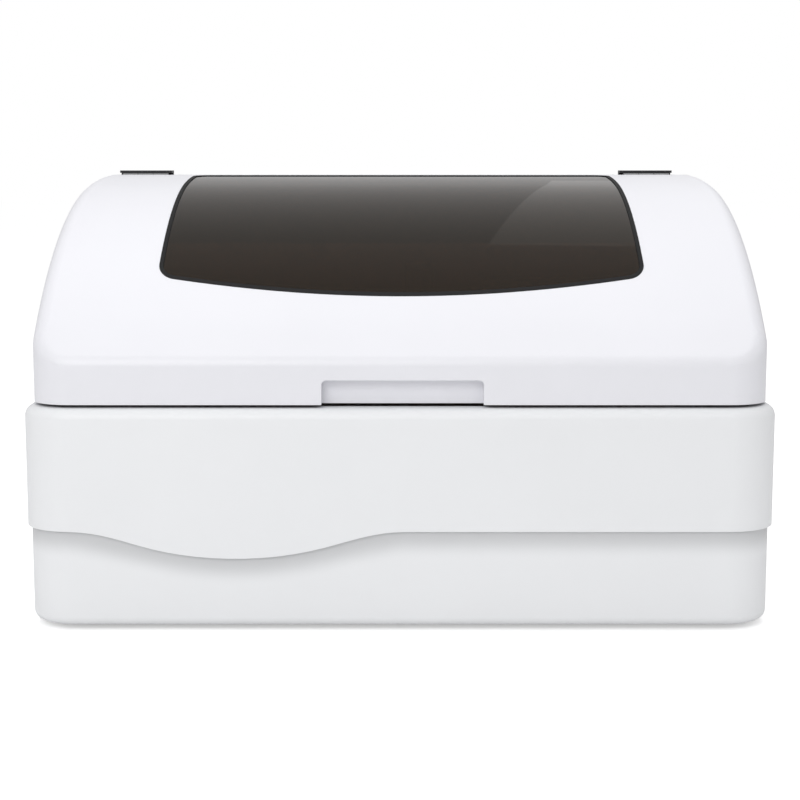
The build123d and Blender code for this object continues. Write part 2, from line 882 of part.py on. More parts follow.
# Fan
def make_fan_frame():
    """Square fan frame with a motor plate on three struts, fixed inside the rear panel."""
    y1 = tower_rear_y
    y0 = y1 - fan_depth
    half = fan_size / 2
    frame = block(fan_x - half, fan_x + half, y0, y1, panel_z - half, panel_z + half)
    frame -= rod_y(fan_x, y0 - cut_margin, y1 + cut_margin, panel_z, fan_bore_r)
    reach = (fan_bore_r + half) / 2
    for k in range(3):
        strut = block(0, reach, y0, y0 + fan_hub_plate, -fan_strut_width / 2, fan_strut_width / 2)
        frame += Pos(fan_x, 0, panel_z) * Rot(0, 120 * k + 90, 0) * strut
    frame += rod_y(fan_x, y0, y0 + fan_hub_plate, panel_z, fan_hub_r)
    bore = fan_shaft_r + shaft_fit
    return frame - rod_y(fan_x, y0 - cut_margin, y0 + fan_hub_plate + cut_margin, panel_z, bore)


def make_fan_rotor():
    """Hub, shaft and pitched blades."""
    frame_y = tower_rear_y - fan_depth
    y0 = frame_y + fan_hub_plate + fan_front_gap
    y1 = tower_rear_y - fan_rear_gap
    rotor = rod_y(fan_x, y0, y1, panel_z, fan_hub_r)
    rotor += rod_y(fan_x, frame_y + fan_front_gap / 2, y0 + fan_front_gap, panel_z, fan_shaft_r)
    tip = fan_bore_r - fan_tip_gap
    root = fan_hub_r - fan_blade_root
    blade = Box(tip - root, (y1 - y0) * fan_blade_share, fan_blade_thickness)
    blade = Pos((tip + root) / 2, 0, 0) * Rot(fan_blade_pitch, 0, 0) * blade
    envelope = rod_y(fan_x, y0, y1, panel_z, tip)
    middle = Pos(fan_x, (y0 + y1) / 2, panel_z)
    for k in range(fan_blades):
        rotor += (middle * Rot(0, 360 / fan_blades * k, 0) * blade) & envelope
    return rotor


# Mains inlet, switch and ports
def inlet_block(side, end, y0, y1):
    """Box on the inlet's middle, wider than it by a side and an end margin."""
    half_x = inlet_width / 2 + side
    half_z = inlet_height / 2 + end
    return block(inlet_x - half_x, inlet_x + half_x, y0, y1, ports_z - half_z, ports_z + half_z)


def rocker_place():
    """Pivot of the mains rocker, as (y, z)."""
    face_y = panel_face_y + inlet_flange
    return face_y - rocker_depth / 2, ports_z + inlet_height / 2 - rocker_width / 2 - rocker_margin


def rocker_pivot(margin):
    """Upright pivot pin of the rocker, grown by a margin."""
    y, z = rocker_place()
    half = rocker_width / 2 + lap_gap + rocker_pin_length + margin
    return disc((inlet_x, y), rocker_pin_r + margin, z - half, z + half)


def make_power_inlet():
    """Inlet with a shrouded three-blade socket below and a switch bay above."""
    face_y = panel_face_y + inlet_flange
    body = inlet_block(0, 0, panel_face_y - inlet_body_depth, panel_face_y)
    body += inlet_block(inlet_flange_side, inlet_flange_end, panel_face_y, face_y)
    bay_z = rocker_place()[1]
    half_x = rocker_length / 2 + lap_gap
    half_z = rocker_width / 2 + lap_gap
    bay_y = face_y - rocker_depth - rocker_margin
    body -= block(
        inlet_x - half_x, inlet_x + half_x, bay_y, face_y + cut_margin, bay_z - half_z, bay_z + half_z
    )
    body -= rocker_pivot(shaft_fit)
    socket_z = ports_z - inlet_height / 2 + socket_foot + socket_height / 2
    half_x = socket_width / 2
    half_z = socket_height / 2
    floor_y = face_y - socket_depth
    body -= block(
        inlet_x - half_x, inlet_x + half_x, floor_y, face_y + cut_margin, socket_z - half_z, socket_z + half_z
    )
    half_x = blade_width / 2
    half_z = blade_height / 2
    tip_y = face_y - blade_height
    for x, z in (
        (inlet_x - blade_spread, socket_z - blade_rise),
        (inlet_x, socket_z + blade_rise),
        (inlet_x + blade_spread, socket_z - blade_rise),
    ):
        body += block(x - half_x, x + half_x, floor_y - cut_margin, tip_y, z - half_z, z + half_z)
    return body


def make_power_rocker():
    """Rocker that tips about an upright pivot, with a shallow V on its face."""
    y, z = rocker_place()
    half = rocker_length / 2 - cut_margin
    shoulder = rocker_depth / 4
    profile = Polyline(
        (-half, -rocker_pin_r), (-half, shoulder), (0, rocker_depth / 2 - rocker_pin_r), (half, shoulder),
        (half, -rocker_pin_r), (0, cut_margin - rocker_depth / 2), (-half, -rocker_pin_r),
    )
    solid = Pos(0, 0, -rocker_width / 2) * extrude(make_face(profile), rocker_width)
    return Pos(inlet_x, y, z) * Rot(0, 0, -rocker_tilt) * solid + rocker_pivot(0)


def make_data_ports():
    """Three data sockets."""
    half_x = data_width / 2
    half_z = data_height / 2
    ports = []
    for i in range(data_count):
        x = data_x + i * data_pitch
        rear_y = panel_face_y - data_depth
        port = block(x - half_x, x + half_x, rear_y, panel_face_y, ports_z - half_z, ports_z + half_z)
        port += block(
            x - half_x - data_lip, x + half_x + data_lip, panel_face_y, panel_face_y + data_lip / 2,
            ports_z - half_z - data_lip, ports_z + half_z + data_lip,
        )
        port -= block(
            x - half_x + data_lip, x + half_x - data_lip, panel_face_y - 2 * data_depth / 3,
            panel_face_y + data_lip, ports_z - half_z + data_lip, ports_z + half_z - data_lip,
        )
        ports.append(port)
    return group(ports)


def make_fluid_ports():
    """Bulkhead couplings for the water and waste lines, each with a hexagonal flange."""
    nose_y = panel_face_y + fluid_nose
    ports = []
    for i in range(fluid_count):
        x = fluid_x + i * fluid_pitch
        port = rod_y(x, panel_face_y - fluid_depth, nose_y, ports_z, fluid_r)
        nut = extrude(RegularPolygon(fluid_r + fluid_flange, 6), fluid_flange)
        port += Pos(x, panel_face_y, ports_z) * Rot(-90, 0, 0) * nut
        port -= rod_y(x, panel_face_y - fluid_bore_depth, nose_y + cut_margin, ports_z, fluid_r - fluid_wall)
        ports.append(port)
    return group(ports)


# Gears: straight flanks chorded inside the involute, with backlash
def gear_outline(teeth):
    """Closed outline of a spur gear centred on the origin, with a gap on +X."""
    pitch_r = gear_module * teeth / 2
    tip_r = pitch_r + gear_addendum * gear_module
    root_r = pitch_r - gear_dedendum * gear_module
    half_pitch = math.pi / teeth / 2 - gear_backlash / 2 / pitch_r
    lean = math.tan(math.radians(gear_flank)) * gear_module / pitch_r
    half_tip = half_pitch - gear_addendum * lean
    half_root = half_pitch + gear_chord * lean
    points = []
    for i in range(teeth):
        middle = 2 * math.pi * (i + 0.5) / teeth
        corners = ((root_r, -half_root), (tip_r, -half_tip), (tip_r, half_tip), (root_r, half_root))
        for radius, turn in corners:
            angle = middle + turn
            points.append((radius * math.cos(angle), radius * math.sin(angle)))
    return make_face(Polyline(*points, close=True))


def make_gear(centre):
    """Spindle gear with a gap facing +Y."""
    turned = Rot(0, 0, 90) * gear_outline(gear_teeth)
    gear = Pos(*centre) * prism(turned, gear_z, gear_z + gear_thickness)
    return gear - disc(centre, spindle_r, gear_z - cut_margin, gear_z + gear_thickness + cut_margin)


def make_pinion(centre):
    """Motor pinion with a tooth facing -Y and its motor shaft."""
    axis = (centre[0], centre[1] + gear_centres)
    turned = Rot(0, 0, -90 + 180 / pinion_teeth) * gear_outline(pinion_teeth)
    pinion = Pos(*axis) * prism(turned, gear_z, gear_z + gear_thickness)
    return pinion + disc(axis, motor_shaft_r, gear_z - motor_shaft_reach, gear_z + cut_margin)


def make_disk_motors():
    """Two stepping motors under the wells, bored for their shafts."""
    motors = []
    half = motor_size / 2
    bore_z = gear_z - motor_shaft_reach - motor_gap / 2
    for centre in (reagent_axis, reaction_axis):
        x, y = centre[0], centre[1] + gear_centres
        motor = block(x - half, x + half, y - half, y + half, motor_top_z - motor_height, motor_top_z)
        motor = chamfer(motor.edges().filter_by(Axis.Z), motor_corner)
        motors.append(motor - disc((x, y), motor_shaft_r + shaft_fit, bore_z, motor_top_z + cut_margin))
    return group(motors)


def make_motor_brackets():
    """Folded sheet stands that carry the motors on the chassis plate."""
    stands = []
    top = motor_top_z - motor_height
    half = motor_size / 2 + motor_gap
    inner = half - bracket_sheet
    for centre in (reagent_axis, reaction_axis):
        x, y = centre[0], centre[1] + gear_centres
        stand = block(x - half, x + half, y - half, y + half, floor_z, top)
        stand -= block(
            x - inner, x + inner, y - half - cut_margin, y + half + cut_margin,
            floor_z + bracket_sheet, top - bracket_sheet,
        )
        stands.append(stand)
    return group(stands)


def make_disk_bearings():
    """Flanged bearings in the well floors."""
    bearings = []
    top = well_floor_z + well_floor
    foot = well_floor_z - bearing_foot
    for centre in (reagent_axis, reaction_axis):
        bearing = disc(centre, bearing_r, foot, top)
        bearing += disc(centre, bearing_flange_r, top, top + bearing_flange)
        bearing -= disc(centre, spindle_r + shaft_fit, foot - cut_margin, top + bearing_flange + cut_margin)
        bearings.append(bearing)
    return group(bearings)


def make_spindle(centre, top):
    """Steel spindle with a thrust collar above its bearing."""
    collar = well_floor_z + well_floor + bearing_flange + lap_gap
    spindle = disc(centre, spindle_r, gear_z - bearing_foot, top)
    return spindle + disc(centre, spindle_r + collar_step, collar, collar + collar_height)


# Reagent and sample disk
def tube_spots():
    """Angles of the tube pockets, counted from the line to the sample arm."""
    return [arm_line + 360 / tube_count * i for i in range(tube_count)]


def wedge(inner, outer, angle, z0, z1):
    """Ring sector centred on +X at the reagent disk's own origin."""
    half = math.radians(angle / 2)
    points = [
        (inner * math.cos(half), -inner * math.sin(half)),
        (outer * math.cos(half), -outer * math.sin(half)),
        (outer * math.cos(half), outer * math.sin(half)),
        (inner * math.cos(half), inner * math.sin(half)),
    ]
    outline = Line(points[0], points[1]) + ThreePointArc(points[1], (outer, 0), points[2])
    outline += Line(points[2], points[3]) + ThreePointArc(points[3], (inner, 0), points[0])
    return prism(make_face(outline), z0, z1)


def bottle_angles():
    """Angles of the reagent bottles, counted from the line to the sample arm."""
    return [arm_line + 360 / bottle_count * i for i in range(bottle_count)]


def make_reagent_tray():
    """Carousel: floor, hub and a rack plate with square tube pockets and a bottle well."""
    place = Pos(reagent_x, reagent_y, 0)
    tray = disc((0, 0), tray_r, tray_floor_z, tray_floor_z + tray_floor)
    tray += disc((0, 0), tray_hub_r, tray_floor_z, tray_rack_top)
    rack = ring((0, 0), tray_r, bottle_outer_r + bottle_gap, tray_rack_z, tray_rack_top)
    half = tube_hole / 2
    low = tray_rack_z - cut_margin
    hole = block(tube_ring_r - half, tube_ring_r + half, -half, half, low, tray_rack_top + cut_margin)
    for angle in tube_spots():
        rack -= Rot(0, 0, angle) * hole
    tray += rack
    half = tray_rib / 2
    rib = block(tray_hub_r - half, tray_r - half, -half, half, tray_floor_z, tray_rack_top)
    for angle in bottle_angles()[::2]:
        tray += Rot(0, 0, angle + 180 / bottle_count) * rib
    tray -= disc((0, 0), spindle_r, tray_floor_z - cut_margin, rim_z)
    return place * tray


def make_sample_tubes():
    """Loaded sample tubes, standing in the tray's pockets."""
    tubes = []
    step = tube_count // tubes_loaded
    z0 = tray_floor_z + tray_floor
    z1 = z0 + tube_length
    for angle in tube_spots()[::step]:
        centre = at_angle(reagent_axis, tube_ring_r, angle)
        tube = disc(centre, tube_r, z0, z1)
        tubes.append(tube - disc(centre, tube_r - tube_wall, z0 + 2 * tube_wall, z1 + cut_margin))
    return group(tubes)


def make_reagent_bottles():
    """Wedge bottles round the hub, each with a necked mouth under the probe's path."""
    z0 = tray_floor_z + tray_floor
    z1 = z0 + bottle_height
    neck_z = z1 + bottle_neck_height
    mouth = (bottle_mouth_ring, 0)
    bottle = wedge(bottle_inner_r, bottle_outer_r, bottle_angle, z0, z1)
    bottle = fillet(bottle.edges().filter_by(Axis.Z), bottle_corner_r)
    bottle += disc(mouth, bottle_mouth_r + bottle_neck, z1 - bottle_wall, neck_z)
    bottle -= wedge(
        bottle_inner_r + bottle_wall, bottle_outer_r - bottle_wall, bottle_angle - 2 * bottle_wall_angle,
        z0 + bottle_wall, z1 - bottle_wall,
    )
    bottle -= disc(mouth, bottle_mouth_r, z1 - 2 * bottle_wall, neck_z + cut_margin)
    place = Pos(reagent_x, reagent_y, 0)
    return group(place * Rot(0, 0, angle) * bottle for angle in bottle_angles())


def make_tray_knob():
    """Lifting knob on the carousel hub."""
    top = tray_rack_top + knob_height
    knob = disc(reagent_axis, knob_r - knob_neck, tray_rack_top, top)
    return knob + disc(reagent_axis, knob_r, top - knob_grip, top)


# Reaction disk
def make_reaction_rotor():
    """Rotor plate that carries the cuvette segments on its rim."""
    outer = cuvette_ring_r - cuvette_size / 2 - rotor_seat_gap
    rotor = disc(reaction_axis, outer, rotor_z, rotor_z + rotor_thickness)
    hub_z = rotor_z - rotor_hub_height
    rotor += disc(reaction_axis, tray_hub_r, hub_z, rotor_z)
    return rotor - disc(reaction_axis, spindle_r, hub_z - cut_margin, rotor_z + rotor_thickness + cut_margin)


def make_cuvette_segments():
    """Cuvettes moulded in segments, hung from a flange on the rotor's rim."""
    per = cuvette_count // segment_count
    flange_z = cuvette_top_z - segment_thickness
    half = cuvette_size / 2
    bore = half - cuvette_wall
    segments = []
    for s in range(segment_count):
        span = per * cuvette_pitch - segment_gap_angle
        middle = (s * per + (per - 1) / 2) * cuvette_pitch
        segment = Rot(0, 0, middle) * wedge(segment_inner_r, segment_outer_r, span, flange_z, cuvette_top_z)
        for k in range(per):
            turn = Rot(0, 0, (s * per + k) * cuvette_pitch)
            r0, r1 = cuvette_ring_r - half, cuvette_ring_r + half
            segment += turn * block(r0, r1, -half, half, cuvette_top_z - cuvette_height, flange_z)
            hole = block(
                cuvette_ring_r - bore, cuvette_ring_r + bore, -bore, bore,
                cuvette_top_z - cuvette_height + cuvette_wall, cuvette_top_z + cut_margin,
            )
            segment -= turn * hole
        segments.append(Pos(reaction_x, reaction_y, 0) * segment)
    return group(segments)


def make_rotor_cover():
    """Bevelled cap over the rotor's middle, with a grip."""
    z0 = rotor_z + rotor_thickness
    z1 = z0 + rotor_cover_height
    foot_r = segment_inner_r - rotor_cover_gap
    form = Cone(foot_r, foot_r - rotor_cover_slope, rotor_cover_height)
    cap = Pos(reaction_x, reaction_y, (z0 + z1) / 2) * form
    return cap + disc(reaction_axis, knob_r - knob_neck + cut_margin, z1, z1 + knob_grip)


def make_photometer():
    """Optical head on the well floor: a fork with one arm on each side of the cuvettes."""
    inner = cuvette_ring_r - cuvette_size / 2 - photometer_gap
    outer = cuvette_ring_r + cuvette_size / 2 + photometer_gap
    z0 = well_floor_z + well_floor
    low = cuvette_top_z - cuvette_height - photometer_gap
    top = rotor_z - photometer_gap
    half = photometer_width / 2
    near = inner - photometer_lamp
    far = outer + photometer_sensor
    fork = block(near, far, -half, half, z0, top)
    fork -= block(inner, outer, -half - cut_margin, half + cut_margin, low, top + cut_margin)
    fork -= rod_x(near - cut_margin, far + cut_margin, 0, (low + top) / 2, photometer_beam_r)
    return Pos(reaction_x, reaction_y, 0) * Rot(0, 0, -90) * fork


# Arms
def arm_outline(length, root_width, tip_width):
    """Tapered arm in plan, with round ends, from its column at the origin along +X."""
    return make_hull(
        (Circle(root_width / 2).edges() + (Pos(length, 0) * Circle(tip_width / 2)).edges())
    )


def make_arm_column(centre, top):
    """Steel column with a pin on its top for the arm."""
    column = disc(centre, column_r, column_foot_z, top)
    return column + disc(centre, arm_pin_r, top, top + arm_pin_length)


def make_arm(centre, length, direction, z0, height, width):
    """Moulded arm cover, bored below for the column's pin."""
    arm = prism(arm_outline(length, width, arm_tip_width), z0 + lap_gap, z0 + height)
    arm = fillet(edges_at(arm, z0 + height), arm_edge_r)
    arm = Pos(centre[0], centre[1], 0) * Rot(0, 0, direction) * arm
    return arm - disc(centre, arm_pin_r + shaft_fit, z0 - cut_margin, z0 + arm_pin_length + cut_margin)


def make_sample_probe():
    """Thin probe with a collar under the arm's tip."""
    z1 = sample_arm_z + lap_gap
    probe = disc(sample_pot, probe_r, probe_tip_z, z1)
    return probe + disc(sample_pot, probe_collar_r, z1 - probe_collar_length, z1)


def make_mixer_arm():
    """Mixer arm cover, bored for its column pin and for the paddle's shaft."""
    arm = make_arm(mixer_column, mixer_arm_length, 0, mixer_arm_z, mixer_arm_height, mixer_arm_width)
    bore = paddle_shaft_r + shaft_fit
    return arm - disc(mixer_pot, bore, mixer_arm_z - cut_margin, mixer_arm_z + paddle_seat + cut_margin)


def make_mixer_paddle():
    """Spinning paddle: a shaft with a flat blade at its tip."""
    blade_top = probe_tip_z + paddle_height
    paddle = disc(mixer_pot, paddle_shaft_r, blade_top - cut_margin, mixer_arm_z + paddle_seat)
    x, y = mixer_pot
    half = paddle_width / 2
    thin = paddle_thickness / 2
    return paddle + block(x - half, x + half, y - thin, y + thin, probe_tip_z, blade_top)


# Wash station
def make_wash_rail():
    """Guide post of the wash station, on its foot."""
    post = disc(wash_rail, wash_rail_r, deck_z, wash_rail_top)
    return post + disc(wash_rail, wash_rail_r + wash_rail_foot, deck_z, deck_z + flange_thickness)


def make_wash_head():
    """Carriage and nozzle plate, with a nozzle over each of its cuvettes."""
    z0 = wash_head_z
    z1 = z0 + wash_head_height
    low = z0 - wash_carriage_collar
    high = z1 + wash_carriage_collar
    inner = cuvette_ring_r - wash_plate_half
    half = wash_arm_width / 2
    arm = block(cuvette_ring_r, wash_rail_reach, -half, half, z0, z1)
    span = cuvette_pitch * wash_nozzles
    plate = wedge(inner, cuvette_ring_r + wash_plate_half, span, z0, z1)
    head = Pos(reaction_x, reaction_y, 0) * Rot(0, 0, wash_angle) * (arm + plate)
    head += disc(wash_rail, wash_rail_r + wash_carriage_wall, low, high)
    for i in range(wash_nozzles):
        spot = at_angle(reaction_axis, cuvette_ring_r, cuvette_pitch * (wash_first_slot + i))
        head += disc(spot, nozzle_r, nozzle_tip_z, z0 + cut_margin)
    return head - disc(wash_rail, wash_rail_r + shaft_fit, low - cut_margin, high + cut_margin)


# Power supply, control board and syringe pump
def make_power_supply():
    """Cased supply on the chassis plate, with vent slots in its lid."""
    x, y = supply_place
    left = x - supply_length / 2
    half = supply_width / 2
    top = floor_z + supply_height
    supply = block(left, left + supply_length, y - half, y + half, floor_z, top)
    reach = half - supply_vent_margin
    for i in range(supply_vents):
        slot_x = left + supply_vent_margin + i * supply_vent_pitch
        slot_end = slot_x + supply_vent_width
        supply -= block(slot_x, slot_end, y - reach, y + reach, top - supply_vent_depth, top + cut_margin)
    return supply


def make_control_board():
    """Circuit board on standoffs, with its largest parts."""
    x, y = board_place
    half_l = board_length / 2
    half_b = board_width / 2
    z0 = floor_z + standoff_height
    z1 = z0 + board_thickness
    board = block(x - half_l, x + half_l, y - half_b, y + half_b, z0, z1)
    for dx in (standoff_margin - half_l, half_l - standoff_margin):
        for dy in (standoff_margin - half_b, half_b - standoff_margin):
            board += disc((x + dx, y + dy), standoff_r, floor_z, z0)
    for dx, dy, size in chips:
        half = size / 2
        board += block(x + dx - half, x + dx + half, y + dy - half, y + dy + half, z1, z1 + chip_height)
    return board


def make_syringe_pump():
    """Stand with the dosing syringe's barrel in a clamp."""
    x, y = syringe_axis
    half = syringe_bracket / 2
    front = y - syringe_r - syringe_clamp_lip
    back = y + syringe_r + cut_margin
    rear = back + syringe_plate
    top = syringe_z + syringe_length
    stand = block(x - half, x + half, back, rear, floor_z, top)
    stand += block(x - half, x + half, y - half, rear, floor_z, floor_z + syringe_plate)
    stand += block(x - half, x + half, front, back + cut_margin, top - syringe_clamp, top)
    stand += disc(syringe_axis, syringe_r, syringe_z, top)
    return stand - disc(syringe_axis, syringe_r - syringe_wall, syringe_z - cut_margin, top - syringe_cap)


def make_syringe_plunger():
    """Plunger drawn down by its travel, with its drive button."""
    low = syringe_travel + plunger_rest_gap
    head = syringe_z + syringe_length - syringe_cap - plunger_head - low
    button = syringe_z - low
    plunger = disc(syringe_axis, syringe_r - syringe_wall - plunger_fit, head, head + plunger_head)
    plunger += disc(syringe_axis, plunger_rod_r, button - cut_margin, head + cut_margin)
    return plunger + disc(syringe_axis, syringe_r, button - plunger_button, button)


os.makedirs("parts", exist_ok=True)

save(make_lower_casing(), "lower_casing")
save(make_upper_casing(), "upper_casing")
save(make_chassis_plate(), "chassis_plate")
save(make_feet(), "feet")
save(make_deck_posts(), "deck_posts")
save(make_work_deck(), "work_deck")
save(make_well(reagent_axis, reagent_well_r), "reagent_well")
save(make_well(reaction_axis, reaction_well_r), "reaction_well")
save(make_wash_pots(), "wash_pots")
save(make_column_bushes(), "column_bushes")
save(make_rear_housing(), "rear_housing")
save(make_rear_panel(), "rear_panel")
save(make_case_screws(), "case_screws")
save(make_fan_frame(), "fan_frame")
save(make_fan_rotor(), "fan_rotor")
save(make_power_inlet(), "power_inlet")
save(make_power_rocker(), "power_rocker")
save(make_data_ports(), "data_ports")
save(make_fluid_ports(), "fluid_ports")
save(make_hinge_brackets(), "hinge_brackets")
save(make_hinge_pins(), "hinge_pins")
save(make_hinge_covers(), "hinge_covers")
save(make_hinge_leaves(), "hinge_leaves")
save(make_lid_shell(), "lid_shell")
save(make_lid_window(), "lid_window")
save(make_window_gasket(), "window_gasket")
save(make_lid_bumpers(), "lid_bumpers")
save(make_disk_bearings(), "disk_bearings")
save(make_disk_motors(), "disk_motors")
save(make_motor_brackets(), "motor_brackets")
save(make_spindle(reagent_axis, tray_rack_z + tray_rack), "reagent_spindle")
save(make_spindle(reaction_axis, rotor_z + rotor_thickness), "reaction_spindle")
save(make_gear(reagent_axis), "reagent_gear")
save(make_gear(reaction_axis), "reaction_gear")
save(make_pinion(reagent_axis), "reagent_pinion")
save(make_pinion(reaction_axis), "reaction_pinion")
save(make_reagent_tray(), "reagent_tray")
save(make_sample_tubes(), "sample_tubes")
save(make_reagent_bottles(), "reagent_bottles")
save(make_tray_knob(), "tray_knob")
save(make_reaction_rotor(), "reaction_rotor")
save(make_cuvette_segments(), "cuvette_segments")
save(make_rotor_cover(), "rotor_cover")
save(make_photometer(), "photometer")
save(make_arm_column(sample_column, sample_arm_z), "sample_column")
save(make_arm_column(mixer_column, mixer_arm_z), "mixer_column")
save(
    make_arm(sample_column, sample_arm_length, -90, sample_arm_z, sample_arm_height, sample_arm_width),
    "sample_arm",
)
save(make_sample_probe(), "sample_probe")
save(make_mixer_arm(), "mixer_arm")
save(make_mixer_paddle(), "mixer_paddle")
save(make_wash_rail(), "wash_rail")
save(make_wash_head(), "wash_head")
save(make_power_supply(), "power_supply")
save(make_control_board(), "control_board")
save(make_syringe_pump(), "syringe_pump")
save(make_syringe_plunger(), "syringe_plunger")
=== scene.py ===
"""Dresses the clinical chemistry analyzer for its studio picture.

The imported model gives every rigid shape. This script gives each of them its finish, adds the wire
guard of the rear fan, and sets up the camera, the floor and the lamps. All lengths are in metres.
"""

import json
import logging
from dataclasses import dataclass, field
from enum import Enum
from math import pi, radians

import bpy
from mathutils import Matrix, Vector

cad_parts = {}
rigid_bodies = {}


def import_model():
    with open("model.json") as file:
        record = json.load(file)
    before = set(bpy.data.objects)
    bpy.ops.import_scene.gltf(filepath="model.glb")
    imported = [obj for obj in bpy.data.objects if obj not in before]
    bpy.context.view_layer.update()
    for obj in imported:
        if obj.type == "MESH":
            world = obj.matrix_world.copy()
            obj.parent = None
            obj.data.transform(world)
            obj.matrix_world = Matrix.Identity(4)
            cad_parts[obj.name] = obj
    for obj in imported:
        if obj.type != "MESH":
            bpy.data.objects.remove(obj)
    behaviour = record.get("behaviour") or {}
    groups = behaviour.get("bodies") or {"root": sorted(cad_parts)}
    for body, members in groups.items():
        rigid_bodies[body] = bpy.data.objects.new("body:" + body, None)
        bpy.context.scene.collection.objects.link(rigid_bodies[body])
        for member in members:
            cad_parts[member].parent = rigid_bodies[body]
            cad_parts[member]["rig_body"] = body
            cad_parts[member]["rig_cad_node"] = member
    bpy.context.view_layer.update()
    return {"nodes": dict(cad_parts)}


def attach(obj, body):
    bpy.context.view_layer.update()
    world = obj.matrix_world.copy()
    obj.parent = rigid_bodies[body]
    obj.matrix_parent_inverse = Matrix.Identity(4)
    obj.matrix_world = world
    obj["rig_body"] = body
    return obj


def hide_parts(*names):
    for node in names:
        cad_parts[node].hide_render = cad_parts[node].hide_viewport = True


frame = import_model()

log = logging.getLogger("analyzer")

MM = 0.001
STEP_Z = 100.2 * MM


class Slot(Enum):
    """The record's material slots."""

    CASING_UPPER = "casing_upper"
    CASING_LOWER = "casing_lower"
    HOOD_WHITE = "hood_white"
    SMOKED_ACRYLIC = "smoked_acrylic"
    BLACK_RUBBER = "black_rubber"
    BLACK_PLASTIC = "black_plastic"
    DECK_GREY = "deck_grey"
    WELL_DARK = "well_dark"
    SHEET_STEEL = "sheet_steel"
    PANEL_PAINT = "panel_paint"
    STEEL = "steel"
    ALUMINIUM = "aluminium"
    BRONZE = "bronze"
    GEAR_NYLON = "gear_nylon"
    TRAY_BLUE = "tray_blue"
    CLEAR_PLASTIC = "clear_plastic"
    BOTTLE_PLASTIC = "bottle_plastic"
    ROTOR_BLACK = "rotor_black"
    ARM_WHITE = "arm_white"
    BOARD_GREEN = "board_green"


class Body(Enum):
    """The rigid bodies that pieces ride on."""

    BASE = "base"
    LID = "lid"
    REAGENT_DISK = "reagent_disk"
    REACTION_DISK = "reaction_disk"
    SAMPLE_SWINGER = "sample_swinger"
    MIXER_SWINGER = "mixer_swinger"
    MIXER_SPINNER = "mixer_spinner"
    WASH_LIFTER = "wash_lifter"
    FAN = "fan"
    ROCKER = "rocker"


Colour = tuple[float, float, float, float]


def screen_colour(red: int, green: int, blue: int) -> Colour:
    """Turns a colour as seen on a screen into the linear values that a shader takes.

    Args:
        red: red from 0 to 255.
        green: green from 0 to 255.
        blue: blue from 0 to 255.

    Returns:
        The linear colour with an alpha of 1.
    """
    linear = []
    for value in (red, green, blue):
        share = value / 255
        linear.append(share / 12.92 if share <= 0.04045 else ((share + 0.055) / 1.055) ** 2.4)
    return (linear[0], linear[1], linear[2], 1.0)


def shaded(colour: Colour, factor: float) -> Colour:
    """Returns the colour made darker or lighter by a factor."""
    return (
        min(colour[0] * factor, 1.0),
        min(colour[1] * factor, 1.0),
        min(colour[2] * factor, 1.0),
        1.0,
    )


